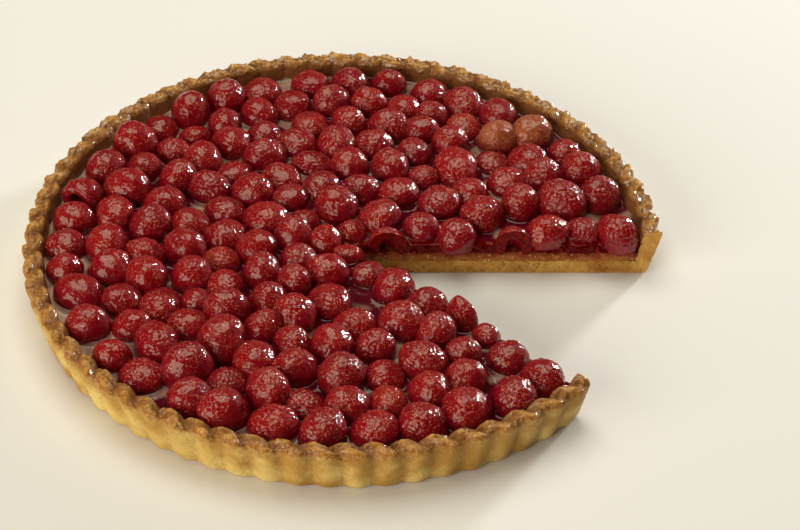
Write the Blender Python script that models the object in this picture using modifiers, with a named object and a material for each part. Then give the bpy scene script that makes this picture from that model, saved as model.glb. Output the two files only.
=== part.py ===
"""Raspberry tart with one wedge cut out: fluted pastry case, cream filling and glazed berries.

Units are metres and +Z is up. The origin is the centre of the flat underside.
+X runs along one cut face, and the open wedge lies clockwise from it, seen from above.
"""

import math
import random

import bmesh
import bpy
from mathutils import Euler, Matrix, Vector, noise

MM = 0.001
CLEARANCE = 0.3 * MM

# The cut wedge, as directions from the centre, counted anticlockwise from +X
FIRST_CUT = math.radians(0.5)
LAST_CUT = math.radians(-43.5)
CUTTER_REACH = 210.0 * MM
CUTTER_BOTTOM = -10.0 * MM
CUTTER_TOP = 60.0 * MM

# Pastry case
RIM_RADIUS = 150.0 * MM
FOOT_RADIUS = 143.2 * MM
RIM_HEIGHT = 25.2 * MM
BASE_THICKNESS = 7.0 * MM
INNER_FOOT_RADIUS = 138.2 * MM
INNER_TOP_RADIUS = 142.6 * MM
LIP_DROP = 2.4 * MM
CREST_INSET = 4.4 * MM
SHOULDER_INSET = 0.8 * MM
SHOULDER_DROP = 0.5 * MM
BROW_DROP = 2.8 * MM
FLUTES = 70
COLUMNS_PER_FLUTE = 4
FLUTE_DEPTH = 2.2 * MM
FLUTE_SHARPNESS = 0.7
LOBE_DEPTH = 1.2 * MM
CREST_DIP = 1.1 * MM
CRAG_HEIGHT = 0.9 * MM
CRAG_SIZE = 7.0 * MM

# Layers inside the case
CREAM_TOP = 11.8 * MM
GLAZE_BOTTOM = CREAM_TOP + CLEARANCE
GLAZE_LEVEL = 15.5 * MM
FILLING_RADIUS = 137.6 * MM
FILLING_SIDES = 70

# Berries
BERRY_FIELD_RADIUS = 138.4 * MM
WALL_CLEAR_RADIUS = 139.2 * MM
BERRY_RADIUS = 9.6 * MM
RIM_BERRY_EXTRA = 0.7 * MM
BERRY_SPREAD = 0.8 * MM
SMALLEST_BERRY = 7.6 * MM
LARGEST_BERRY = 11.3 * MM
BERRY_SLENDERNESS = 1.42
HEIGHT_RANGE = (0.78, 1.28)
BERRY_FOOT = 13.0 * MM
RING_PITCH = 17.0 * MM
ARC_PITCH = 19.2 * MM
RINGS = 8
RING_JITTER = 1.5 * MM
SQUEEZE = 0.975
SETTLING_STEPS = 140
ROW_GAP = 0.8
LEAN = math.radians(9)
SEED = 78

# A berry's form from foot to tip: level on a unit sphere, share of the radius, share of the height
BERRY_LEVELS = [
    (-1.0, 0.0, 0.0),
    (-0.71, 0.92, 0.0),
    (0.0, 1.0, 0.45),
    (0.71, 0.7, 0.87),
    (1.0, 0.0, 1.0),
]
BERRY_SIDES = 7

# Berries along each cut: distance from the centre, distance behind the cut, radius
FIRST_ROW = [
    (3.5, 9.5, 7.2),
    (20.6, 0.8, 9.0),
    (36.6, 9.6, 8.4),
    (53.6, 5.6, 9.4),
    (79.9, 0.8, 8.8),
    (97.0, 7.0, 9.4),
    (112.8, 9.6, 8.2),
    (129.0, 7.6, 9.3),
]
LAST_ROW = [
    (7.3, 4.8, 7.0),
    (23.6, 8.7, 7.6),
    (38.6, 8.9, 9.4),
    (57.6, 6.6, 9.3),
    (75.0, 0.8, 8.4),
    (91.6, 3.4, 6.4),
    (108.2, 7.4, 9.0),
    (127.4, 8.4, 9.5),
]
HALVED_WITHIN = 1.5 * MM
OVERHANG = 0.4
HOLLOW_RADIUS = 0.46
HOLLOW_HEIGHT = 0.62
HOLLOW_TAPER = 0.5
HOLLOW_SIDES = 8


def clear_scene():
    """Remove every object that is there at the start."""
    for item in list(bpy.data.objects):
        bpy.data.objects.remove(item, do_unlink=True)


def new_collection(name, hidden=False):
    """Make a collection in the scene."""
    made = bpy.data.collections.new(name)
    made.hide_render = hidden
    bpy.context.scene.collection.children.link(made)
    return made


def plain_material(name, colour, roughness):
    """Make a Principled material from a linear colour and a roughness."""
    material = bpy.data.materials.new(name)
    material.use_nodes = True
    shader = material.node_tree.nodes["Principled BSDF"]
    shader.inputs["Base Color"].default_value = (*colour, 1.0)
    shader.inputs["Roughness"].default_value = roughness
    shader.inputs["Metallic"].default_value = 0.0
    return material


def add_object(name, shape, collection):
    """Turn a bmesh into a named object of a collection."""
    mesh = bpy.data.meshes.new(name)
    shape.to_mesh(mesh)
    shape.free()
    made = bpy.data.objects.new(name, mesh)
    collection.objects.link(made)
    return made


def dress(item, material):
    """Give the whole object one material."""
    item.data.materials.clear()
    item.data.materials.append(material)


def apply_modifiers(item):
    """Replace the object's mesh by its evaluated form and drop its modifiers."""
    graph = bpy.context.evaluated_depsgraph_get()
    mesh = bpy.data.meshes.new_from_object(item.evaluated_get(graph))
    item.modifiers.clear()
    item.data = mesh


def cut(item, cutter):
    """Take the cutter's space out of the object."""
    modifier = item.modifiers.new("cut", "BOOLEAN")
    modifier.operation = "DIFFERENCE"
    modifier.solver = "EXACT"
    modifier.object = cutter
    apply_modifiers(item)


def join(item, others):
    """Join every object of a collection onto the object."""
    modifier = item.modifiers.new("join", "BOOLEAN")
    modifier.operation = "UNION"
    modifier.solver = "EXACT"
    modifier.operand_type = "COLLECTION"
    modifier.collection = others
    apply_modifiers(item)


def wedge_cutter(collection):
    """The prism that takes the wedge out, with its edge on the tart's axis."""
    shape = bmesh.new()
    corners = [shape.verts.new((0.0, 0.0, CUTTER_BOTTOM))]
    for direction in (LAST_CUT, FIRST_CUT):
        along = Vector((math.cos(direction), math.sin(direction), 0.0))
        corners.append(shape.verts.new(along * CUTTER_REACH + Vector((0.0, 0.0, CUTTER_BOTTOM))))
    face = shape.faces.new(corners)
    lifted = bmesh.ops.extrude_face_region(shape, geom=[face])["geom"]
    top = [v for v in lifted if isinstance(v, bmesh.types.BMVert)]
    bmesh.ops.translate(shape, vec=(0, 0, CUTTER_TOP - CUTTER_BOTTOM), verts=top)
    bmesh.ops.recalc_face_normals(shape, faces=shape.faces)
    cutter = add_object("wedge_cutter", shape, collection)
    cutter.hide_render = True
    cutter.display_type = "WIRE"
    return cutter


# Pastry case


def case_profile():
    """The wall's section as (radius, height, flute share, lobe share, crag share), inside first."""
    return [
        (INNER_FOOT_RADIUS, BASE_THICKNESS, 0.0, 0.0, 0.0),
        (INNER_TOP_RADIUS, RIM_HEIGHT - LIP_DROP, 0.0, 1.0, 0.2),
        (RIM_RADIUS - CREST_INSET, RIM_HEIGHT, 0.3, 0.5, 1.0),
        (RIM_RADIUS - SHOULDER_INSET, RIM_HEIGHT - SHOULDER_DROP, 0.8, 0.0, 1.0),
        (RIM_RADIUS, RIM_HEIGHT - BROW_DROP, 1.0, 0.0, 0.3),
        (FOOT_RADIUS, 0.0, 0.85, 0.0, 0.0),
    ]


def flute_bulge(angle):
    """How far a flute bulges at this direction, from 0 in a crease to 1 at its middle."""
    phase = angle * FLUTES / math.tau
    return abs(math.cos(math.pi * phase)) ** FLUTE_SHARPNESS


def shape_wall(mesh):
    """Press the flutes, lobes and crags into the turned wall."""
    profile = case_profile()
    for vertex in mesh.vertices:
        x, y, z = vertex.co
        radius, angle = math.hypot(x, y), math.atan2(y, x)
        _, _, flute, lobe, crag = min(
            profile, key=lambda p: math.hypot(p[0] - radius, p[1] - z)
        )
        bulge = flute_bulge(angle)
        roughness = CRAG_HEIGHT * noise.noise(Vector((x, y, z)) / CRAG_SIZE)
        radius -= flute * FLUTE_DEPTH * (1 - bulge) + lobe * LOBE_DEPTH * bulge
        z += crag * (roughness - CREST_DIP * (1 - bulge))
        vertex.co = (radius * math.cos(angle), radius * math.sin(angle), z)


def pastry_case(collection, cutter, material):
    """Turn the wall, shape it, close it with a flat base and cut the wedge out."""
    line = bmesh.new()
    points = [line.verts.new((radius, 0.0, height)) for radius, height, *_ in case_profile()]
    for lower, upper in zip(points, points[1:]):
        line.edges.new((lower, upper))
    case = add_object("pastry_case", line, collection)
    screw = case.modifiers.new("turn", "SCREW")
    screw.steps = screw.render_steps = FLUTES * COLUMNS_PER_FLUTE
    screw.use_merge_vertices = True
    screw.merge_threshold = 0.01 * MM
    apply_modifiers(case)
    shape_wall(case.data)
    shape = bmesh.new()
    shape.from_mesh(case.data)
    rims = [edge for edge in shape.edges if edge.is_boundary]
    bmesh.ops.holes_fill(shape, edges=rims, sides=0)
    bmesh.ops.recalc_face_normals(shape, faces=shape.faces)
    shape.to_mesh(case.data)
    shape.free()
    cut(case, cutter)
    dress(case, material)


# Layers inside the case


def filling_layer(name, low, high, collection, cutter):
    """A flat round layer inside the case, with the wedge cut out."""
    shape = bmesh.new()
    bmesh.ops.create_cone(
        shape,
        cap_ends=True,
        segments=FILLING_SIDES,
        radius1=FILLING_RADIUS,
        radius2=FILLING_RADIUS,
        depth=high - low,
        matrix=Matrix.Translation((0, 0, (low + high) / 2)),
    )
    layer = add_object(name, shape, collection)
    cut(layer, cutter)
    return layer


# Berries


def inset_from_cuts(x, y):
    """How far a point lies inside the tart from the nearer cut face, negative in the wedge."""
    turn = math.atan2(y, x)
    opening = FIRST_CUT - LAST_CUT
    past_first = (turn - FIRST_CUT) % math.tau
    before_last = (LAST_CUT - turn) % math.tau
    nearer = min(past_first, before_last)
    if past_first > math.tau - opening:
        nearer = max(past_first, before_last) - math.tau
    if abs(nearer) > math.pi / 2:
        return math.hypot(x, y)
    return math.hypot(x, y) * math.sin(nearer)


def ringed_berries(draw):
    """Berries [x, y, radius] set in rings from the rim inwards over the whole tart."""
    berries = []
    for ring in range(RINGS):
        extra = RIM_BERRY_EXTRA if ring == 0 else 0.0
        radius = BERRY_FIELD_RADIUS - BERRY_RADIUS - ring * RING_PITCH
        count = max(3, round(math.tau * radius / (ARC_PITCH + 2 * extra)))
        start = draw.uniform(0, math.tau)
        for step in range(count):
            angle = start + math.tau * step / count
            distance = radius + draw.uniform(-RING_JITTER, RING_JITTER)
            size = draw.gauss(BERRY_RADIUS + extra, BERRY_SPREAD)
            size = min(max(size, SMALLEST_BERRY), LARGEST_BERRY)
            berries.append(
                [distance * math.cos(angle), distance * math.sin(angle), size]
            )
    return berries


def settle(berries, fixed):
    """Nudge the berries apart until they only just press on each other and on the case."""
    for _ in range(SETTLING_STEPS):
        for i, one in enumerate(berries):
            for other in fixed + berries[:i]:
                dx, dy = one[0] - other[0], one[1] - other[1]
                apart = math.hypot(dx, dy) or CLEARANCE
                reach = SQUEEZE * (one[2] + other[2])
                if apart >= reach:
                    continue
                share = 1.0 if other in fixed else 0.5
                push = (reach - apart) / apart * share
                one[0] += dx * push
                one[1] += dy * push
                if share < 1.0:
                    other[0] -= dx * push
                    other[1] -= dy * push
            distance = math.hypot(one[0], one[1])
            if distance + one[2] > BERRY_FIELD_RADIUS:
                inward = (BERRY_FIELD_RADIUS - one[2]) / distance
                one[0] *= inward
                one[1] *= inward
    return berries


def cut_rows():
    """The berries that stand along the two cut faces, as [x, y, radius]."""
    berries = []
    for direction, side, row in ((FIRST_CUT, 1, FIRST_ROW), (LAST_CUT, -1, LAST_ROW)):
        along = Vector((math.cos(direction), math.sin(direction)))
        behind = Vector((-along.y, along.x)) * side
        for distance, inset, radius in row:
            place = (along * distance + behind * inset) * MM
            berries.append([place.x, place.y, radius * MM])
    return berries


def berry_plan():
    """Every berry as (x, y, radius, height, lean, spin, halved)."""
    draw = random.Random(SEED)
    row = cut_rows()
    loose = [
        berry
        for berry in ringed_berries(draw)
        if all(
            math.hypot(berry[0] - x, berry[1] - y) > ROW_GAP * (radius + berry[2])
            for x, y, radius in row
        )
    ]
    plan = []
    for x, y, radius in row + settle(loose, row):
        height = radius * BERRY_SLENDERNESS * draw.uniform(*HEIGHT_RANGE)
        lean = (draw.gauss(0, LEAN), draw.gauss(0, LEAN))
        spin = draw.uniform(0, math.tau)
        inset = inset_from_cuts(x, y)
        chosen = len(plan) < len(row)
        halved = chosen and inset < HALVED_WITHIN
        if not chosen and inset < (1 - OVERHANG) * radius:
            continue
        if halved:
            lean = (0.0, 0.0)
        plan.append((x, y, radius, height, lean, spin, halved))
    return plan


def berry_place(x, y, lean, spin):
    """How a berry stands: spun about its own axis, leaned and moved to its spot."""
    spun = Matrix.Rotation(spin, 4, "Z")
    leaned = Euler((lean[0], lean[1], 0)).to_matrix().to_4x4()
    return Matrix.Translation((x, y, BERRY_FOOT)) @ leaned @ spun


def thimble(radius, height, place):
    """A blunt cone with a rounded top, made from a coarse sphere."""
    shape = bmesh.new()
    rings = len(BERRY_LEVELS) - 1
    bmesh.ops.create_uvsphere(shape, u_segments=BERRY_SIDES, v_segments=rings, radius=1.0)
    for vertex in shape.verts:
        _, width, lift = min(BERRY_LEVELS, key=lambda level: abs(level[0] - vertex.co.z))
        around = math.atan2(vertex.co.y, vertex.co.x)
        reach = width * radius
        spot = Vector((reach * math.cos(around), reach * math.sin(around), lift * height))
        vertex.co = place @ spot
        vertex.co.z = max(vertex.co.z, BERRY_FOOT)
        outward = math.hypot(vertex.co.x, vertex.co.y) / WALL_CLEAR_RADIUS
        if outward > 1.0:
            vertex.co.x /= outward
            vertex.co.y /= outward
    bmesh.ops.recalc_face_normals(shape, faces=shape.faces)
    return shape


def berry_solid(berry, cutter, collection):
    """One berry, or the half of it that the knife has left, with its hollow core showing."""
    x, y, radius, height, lean, spin, halved = berry
    place = berry_place(x, y, lean, spin)
    solid = add_object("berry", thimble(radius, height, place), collection)
    if not halved:
        return
    depth = HOLLOW_HEIGHT * height
    hollow = bmesh.new()
    bmesh.ops.create_cone(
        hollow,
        cap_ends=True,
        segments=HOLLOW_SIDES,
        radius1=HOLLOW_RADIUS * radius,
        radius2=HOLLOW_TAPER * HOLLOW_RADIUS * radius,
        depth=depth,
        matrix=place @ Matrix.Translation((0, 0, depth / 2 + GLAZE_LEVEL - BERRY_FOOT)),
    )
    core = add_object("hollow", hollow, collection)
    cut(solid, core)
    cut(solid, cutter)
    bpy.data.objects.remove(core)


def fill_pockets(item):
    """Drop the shells that face inwards, which are pockets shut in between berries."""
    shape = bmesh.new()
    shape.from_mesh(item.data)
    waiting = set(shape.faces)
    while waiting:
        shell = []
        reached = [waiting.pop()]
        while reached:
            face = reached.pop()
            shell.append(face)
            for edge in face.edges:
                for other in edge.link_faces:
                    if other in waiting:
                        waiting.remove(other)
                        reached.append(other)
        volume = sum(face.calc_center_median().dot(face.normal) * face.calc_area() for face in shell)
        if volume <= 0:
            bmesh.ops.delete(shape, geom=shell, context="FACES")
    shape.to_mesh(item.data)
    shape.free()


def raspberries(collection, cutter, material):
    """The glaze layer with every berry joined onto it as one solid."""
    heap = filling_layer("raspberries", GLAZE_BOTTOM, GLAZE_LEVEL, collection, cutter)
    loose = new_collection("loose_berries")
    for berry in berry_plan():
        berry_solid(berry, cutter, loose)
    join(heap, loose)
    for item in list(loose.objects):
        bpy.data.objects.remove(item, do_unlink=True)
    bpy.data.collections.remove(loose)
    fill_pockets(heap)
    dress(heap, material)


def main():
    """Build the tart."""
    clear_scene()
    tart = new_collection("raspberry_tart")
    cutters = new_collection("cutters", hidden=True)
    knife = wedge_cutter(cutters)
    baked = plain_material("baked_pastry", (0.62, 0.36, 0.11), 0.75)
    cream = plain_material("stained_cream", (0.62, 0.36, 0.28), 0.6)
    berry = plain_material("glazed_berry", (0.26, 0.006, 0.008), 0.2)
    pastry_case(tart, knife, baked)
    cream_bottom = BASE_THICKNESS + CLEARANCE
    dress(filling_layer("cream_filling", cream_bottom, CREAM_TOP, tart, knife), cream)
    raspberries(tart, knife, berry)


main()
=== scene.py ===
"""Looks of a large raspberry tart with one wedge cut out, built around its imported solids.

Units are metres and +Z is up. The origin is the centre of the flat underside. +X runs along the
first cut, and the tart fills the way round anticlockwise from there to the last cut.
"""

import logging
import math
import random
from collections.abc import Callable, Iterator, Sequence
from contextlib import contextmanager
from dataclasses import dataclass
from enum import Enum
from itertools import product

import bmesh
import bpy
import numpy as np
from mathutils import Euler, Matrix, Vector, noise


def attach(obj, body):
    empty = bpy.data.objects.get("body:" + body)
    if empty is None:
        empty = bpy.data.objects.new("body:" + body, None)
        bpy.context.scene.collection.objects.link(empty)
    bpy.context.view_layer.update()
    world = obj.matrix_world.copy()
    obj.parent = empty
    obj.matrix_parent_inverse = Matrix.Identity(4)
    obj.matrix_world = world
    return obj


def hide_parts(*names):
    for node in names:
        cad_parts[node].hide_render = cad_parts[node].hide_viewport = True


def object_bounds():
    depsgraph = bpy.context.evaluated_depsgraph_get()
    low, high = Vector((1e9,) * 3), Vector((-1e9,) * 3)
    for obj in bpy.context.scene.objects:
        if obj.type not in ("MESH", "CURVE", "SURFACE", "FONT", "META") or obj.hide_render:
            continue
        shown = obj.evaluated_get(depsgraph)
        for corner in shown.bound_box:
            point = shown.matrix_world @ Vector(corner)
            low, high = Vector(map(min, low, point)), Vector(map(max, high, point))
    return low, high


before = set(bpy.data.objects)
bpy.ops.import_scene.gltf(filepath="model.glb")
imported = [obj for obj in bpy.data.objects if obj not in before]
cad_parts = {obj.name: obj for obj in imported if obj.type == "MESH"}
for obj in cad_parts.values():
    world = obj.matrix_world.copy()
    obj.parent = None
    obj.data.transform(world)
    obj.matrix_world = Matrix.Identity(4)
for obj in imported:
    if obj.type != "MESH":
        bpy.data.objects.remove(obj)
CAD_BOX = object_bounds()

MM = 0.001
LOG = logging.getLogger("raspberry_tart")

Triple = tuple[float, float, float]
Pair = tuple[float, float]
Face = tuple[int, ...]
Object = bpy.types.Object
Mesh = bpy.types.Mesh
Material = bpy.types.Material
Node = bpy.types.Node
Tree = bpy.types.NodeTree
Socket = bpy.types.NodeSocket


# Sizes shared by the sub-assemblies


class Side(Enum):
    """Where a point lies, valued by the turn that leads from a cut into the tart."""

    FIRST_CUT = 1
    LAST_CUT = -1
    ROUND = 0


@dataclass(frozen=True)
class TartPlan:
    """Driving sizes of the tart, as its solids have them."""

    first_cut: float = math.radians(0.5)
    last_cut: float = math.radians(-43.5)
    rim_radius: float = 149.8 * MM
    foot_radius: float = 143.2 * MM
    rim_height: float = 25.2 * MM
    base_thickness: float = 7.0 * MM
    inner_foot_radius: float = 138.2 * MM
    inner_top_radius: float = 142.2 * MM
    cream_top: float = 11.8 * MM
    glaze_level: float = 15.7 * MM
    filling_radius: float = 137.6 * MM
    flutes: int = 70

    @property
    def sweep(self) -> float:
        """Angle that the tart fills, from the first cut round to the last."""
        return math.tau - (self.first_cut - self.last_cut)

    def direction(self, side: Side) -> float:
        """Direction in which a cut leads from the axis."""
        return self.last_cut if side is Side.LAST_CUT else self.first_cut

    def inset(self, x: float, y: float) -> float:
        """How far a point lies inside the tart from the nearer cut.

        Args:
            x: Place along X.
            y: Place along Y.

        Returns:
            The distance, negative inside the open wedge.
        """
        turn = math.atan2(y, x)
        opening = self.first_cut - self.last_cut
        past_first = (turn - self.first_cut) % math.tau
        before_last = (self.last_cut - turn) % math.tau
        nearer = min(past_first, before_last)
        if past_first > math.tau - opening:
            nearer = max(past_first, before_last) - math.tau
        if abs(nearer) > math.pi / 2:
            return math.hypot(x, y)
        return math.hypot(x, y) * math.sin(nearer)


# Small helpers for numbers and meshes


def smoothstep(low: float, high: float, value: float) -> float:
    """Ease from 0 below one value to 1 above another."""
    share = min(max((value - low) / (high - low), 0.0), 1.0)
    return share * share * (3 - 2 * share)


def blend(first: float, second: float, share: float) -> float:
    """Mix two numbers."""
    return first + (second - first) * share


def toward(angle: float, distance: float = 1.0, height: float = 0.0) -> Vector:
    """Point at a direction, a distance and a height from the tart's axis."""
    return Vector((distance * math.cos(angle), distance * math.sin(angle), height))


def behind(angle: float, side: Side) -> Vector:
    """Level direction from a cut into the tart."""
    return Vector((-math.sin(angle), math.cos(angle), 0.0)) * side.value


def facing(x: float, y: float, direction: float) -> float:
    """How much a place lies towards a direction from the axis, from -1 to 1."""
    return math.cos(math.atan2(y, x) - direction)


def crags(spot: Vector, size: float, octaves: int, falloff: float = 1.0, gaps: float = 2.1) -> float:
    """Rough noise around 0, with features of about one size and finer ones on them."""
    return noise.fractal(spot / size, falloff, gaps, octaves, noise_basis="PERLIN_ORIGINAL")


def resample(points: Sequence[Pair], count: int) -> list[Pair]:
    """Spread points evenly along a broken line.

    Args:
        points: The line's corners.
        count: How many points to return.

    Returns:
        Points at equal steps of the line's length, its two ends among them.
    """
    corners = np.array(points)
    along = lengths(corners)
    wanted = np.linspace(0.0, along[-1], count)
    first = np.interp(wanted, along, corners[:, 0])
    second = np.interp(wanted, along, corners[:, 1])
    return list(zip(first.tolist(), second.tolist()))


def lengths(line: np.ndarray) -> np.ndarray:
    """Length along a broken line at each of its corners."""
    return np.concatenate([[0.0], np.cumsum(np.hypot(*np.diff(line, axis=0).T))])


def linked(name: str, data: bpy.types.ID) -> Object:
    """Make an object and put it into the scene.

    Args:
        name: The object's name.
        data: Its mesh, light or camera.

    Returns:
        The object.
    """
    made = bpy.data.objects.new(name, data)
    bpy.context.scene.collection.objects.link(made)
    return made


@contextmanager
def edited(mesh: Mesh) -> Iterator[bmesh.types.BMesh]:
    """Open a mesh for editing, and write it back at the end.

    Args:
        mesh: The mesh.

    Yields:
        Its editable form.
    """
    shape = bmesh.new()
    shape.from_mesh(mesh)
    yield shape
    shape.to_mesh(mesh)
    shape.free()


def piece_from(
    name: str,
    points: Sequence[Sequence[float]],
    faces: Sequence[Face],
    materials: Sequence[Material],
    slots: Sequence[int] | None = None,
) -> Object:
    """Make a named object from points and faces, merged, facing outwards and smooth.

    Args:
        name: The object's name.
        points: Places of the vertices.
        faces: Vertex numbers of each face.
        materials: Materials in slot order.
        slots: Material slot of each face, all 0 if left out.

    Returns:
        The linked object.
    """
    mesh = bpy.data.meshes.new(name)
    mesh.from_pydata([tuple(point) for point in points], [], faces)
    for material in materials:
        mesh.materials.append(material)
    if slots is not None:
        mesh.polygons.foreach_set("material_index", slots)
    with edited(mesh) as shape:
        bmesh.ops.remove_doubles(shape, verts=shape.verts, dist=0.001 * MM)
        bmesh.ops.recalc_face_normals(shape, faces=shape.faces)
    mesh.shade_smooth()
    return linked(name, mesh)


def store(mesh: Mesh, rows: Sequence[dict]) -> None:
    """Keep each vertex's values as named attributes.

    Args:
        mesh: The mesh.
        rows: Whole numbers, numbers or rows of three, by name, for each vertex.
    """
    for name in rows[0]:
        values = np.array([row[name] for row in rows])
        number = "INT" if values.dtype.kind == "i" else "FLOAT"
        kind, part = ("FLOAT_VECTOR", "vector") if values.ndim == 2 else (number, "value")
        layer = mesh.attributes.new(name, kind, "POINT")
        layer.data.foreach_set(part, values.ravel().tolist())


# Node trees


class Wiring:
    """A short way to add nodes to a tree and wire them."""

    def __init__(self, tree: Tree) -> None:
        """Work on one node tree."""
        self.tree = tree

    def fill(self, node: Node, inputs: dict) -> None:
        """Set or wire a node's inputs.

        Args:
            node: The node.
            inputs: Values or sockets, by the input's name or number.
        """
        for key, value in inputs.items():
            if isinstance(value, Socket):
                self.tree.links.new(value, node.inputs[key])
            else:
                node.inputs[key].default_value = value

    def add(self, kind: str, settings: dict | None = None, inputs: dict | None = None) -> Node:
        """Add a node.

        Args:
            kind: The node's type name.
            settings: Properties to set on it.
            inputs: Values or sockets for its inputs.

        Returns:
            The new node.
        """
        made = self.tree.nodes.new(kind)
        for key, value in (settings or {}).items():
            setattr(made, key, value)
        self.fill(made, inputs or {})
        return made

    def named(self, name: str, kind: str) -> Socket:
        """An attribute of the points, by its name and type."""
        node = self.add("GeometryNodeInputNamedAttribute", {"data_type": kind}, {"Name": name})
        return node.outputs["Attribute"]


class Paint(Wiring):
    """A Principled material, wired over the object's own coordinates."""

    def __init__(self, name: str) -> None:
        """Start the material.

        Args:
            name: The material's name.
        """
        self.material = bpy.data.materials.new(name)
        self.material.use_nodes = True
        super().__init__(self.material.node_tree)
        self.where = self.add("ShaderNodeTexCoord").outputs["Object"]

    def noise(self, scale: float, detail: float = 3.0, rough: float = 0.55) -> Socket:
        """Noise from 0 to 1, with features about 1 / scale metres wide."""
        inputs = {"Vector": self.where, "Scale": scale, "Detail": detail, "Roughness": rough}
        return self.add("ShaderNodeTexNoise", inputs=inputs).outputs["Fac"]

    def cells(self, scale: float, feature: str = "F1") -> Socket:
        """Distance to the nearest cell's middle, or to the nearest edge."""
        inputs = {"Vector": self.where, "Scale": scale}
        return self.add("ShaderNodeTexVoronoi", {"feature": feature}, inputs).outputs["Distance"]

    def height(self) -> Socket:
        """Height above the tart's underside."""
        return self.add("ShaderNodeSeparateXYZ", inputs={0: self.where}).outputs["Z"]

    def attribute(self, name: str) -> Socket:
        """A number kept on the mesh."""
        return self.add("ShaderNodeAttribute", {"attribute_name": name}).outputs["Fac"]

    def band(self, value: Socket, low: float, high: float, start: float = 0.0, end: float = 1.0) -> Socket:
        """Move a value from one range to another and hold it there."""
        inputs = {"Value": value, "From Min": low, "From Max": high, "To Min": start, "To Max": end}
        return self.add("ShaderNodeMapRange", {"clamp": True}, inputs).outputs["Result"]

    def maths(self, operation: str, first: Socket, second: Socket) -> Socket:
        """Join two numbers."""
        return self.add("ShaderNodeMath", {"operation": operation}, {0: first, 1: second}).outputs[0]

    def times(self, first: Socket, *others: Socket) -> Socket:
        """Multiply numbers.

        Args:
            first: The first number.
            others: The others.

        Returns:
            Their product.
        """
        for other in others:
            first = self.maths("MULTIPLY", first, other)
        return first

    def mix(self, share: Socket, first: Socket | Triple, second: Socket | Triple) -> Socket:
        """Mix two colours.

        Args:
            share: How much of the second colour.
            first: The first colour or socket.
            second: The second colour or socket.

        Returns:
            The mixed colour.
        """
        first, second = ((*c, 1.0) if isinstance(c, tuple) else c for c in (first, second))
        inputs = {0: share, 6: first, 7: second}
        return self.add("ShaderNodeMix", {"data_type": "RGBA"}, inputs).outputs[2]

    def over(self, under: Socket | Triple, colour: Socket | Triple, value: Socket, *band: float) -> Socket:
        """Lay a colour over another by a value's band."""
        return self.mix(self.band(value, *band), under, colour)

    def bump(
        self, height: Socket, depth: float, below: Socket | None = None, strength: Socket | float = 1.0
    ) -> Socket:
        """Turn a height from 0 to 1 into a normal, over another one if given.

        Args:
            height: The height.
            depth: Depth of the relief, negative for hollows.
            below: Normal of the surface that the relief lies on.
            strength: Share of the relief.

        Returns:
            The normal.
        """
        inputs = {"Height": height, "Distance": depth, "Strength": strength}
        if below is not None:
            inputs["Normal"] = below
        return self.add("ShaderNodeBump", inputs=inputs).outputs["Normal"]

    def finish(self, looks: dict) -> Material:
        """Set the shader's inputs by name, and give the material."""
        self.fill(self.tree.nodes["Principled BSDF"], looks)
        return self.material


def soft(weight: float, radius: Triple, scale: float) -> dict:
    """Shader inputs for light that sinks in, by its share, its colours' reach and its depth."""
    return {"Subsurface Weight": weight, "Subsurface Radius": radius, "Subsurface Scale": scale}


def setting_tree(name: str, extra: dict[str, str], wire: Callable[[Wiring, dict], dict]) -> Tree:
    """Build nodes that set instances on points, make them real and give them their finish.

    Args:
        name: The tree's name.
        extra: Kind of each named input besides the geometry and the finish.
        wire: Gives the instances' inputs, from the wiring and the tree's input sockets.

    Returns:
        The tree.
    """
    tree = bpy.data.node_groups.new(name, "GeometryNodeTree")
    for label, kind in {"Geometry": "Geometry", "Finish": "Material", **extra}.items():
        tree.interface.new_socket(label, in_out="INPUT", socket_type=f"NodeSocket{kind}")
    tree.interface.new_socket("Geometry", in_out="OUTPUT", socket_type="NodeSocketGeometry")
    wiring = Wiring(tree)
    given = wiring.add("NodeGroupInput").outputs
    inputs = {"Points": given["Geometry"], **wire(wiring, given)}
    placed = wiring.add("GeometryNodeInstanceOnPoints", inputs=inputs).outputs[0]
    real = wiring.add("GeometryNodeRealizeInstances", inputs={"Geometry": placed}).outputs[0]
    inputs = {"Geometry": real, "Material": given["Finish"]}
    dressed = wiring.add("GeometryNodeSetMaterial", inputs=inputs).outputs[0]
    wiring.add("NodeGroupOutput", inputs={"Geometry": dressed})
    return tree


def set_on(rows: Sequence[dict], name: str, tree: Tree, values: dict) -> Object:
    """Run a tree on points and keep what it makes as a plain piece.

    Args:
        rows: Each point's place, which is taken out, and the values of its attributes.
        name: The piece's name.
        tree: The tree.
        values: Values for the tree's named inputs.

    Returns:
        The piece, with its attributes kept and no modifier.
    """
    points = bpy.data.meshes.new("places")
    points.from_pydata([tuple(row.pop("place")) for row in rows], [], [])
    store(points, rows)
    source = linked("places", points)
    modifier = source.modifiers.new("set", "NODES")
    modifier.node_group = tree
    for item in tree.interface.items_tree:
        if item.in_out == "INPUT" and item.name in values:
            modifier[item.identifier] = values[item.name]
    graph = bpy.context.evaluated_depsgraph_get()
    mesh = bpy.data.meshes.new_from_object(
        source.evaluated_get(graph), preserve_all_data_layers=True, depsgraph=graph
    )
    mesh.name = name
    bpy.data.objects.remove(source)
    return linked(name, mesh)


# Finishes


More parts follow.
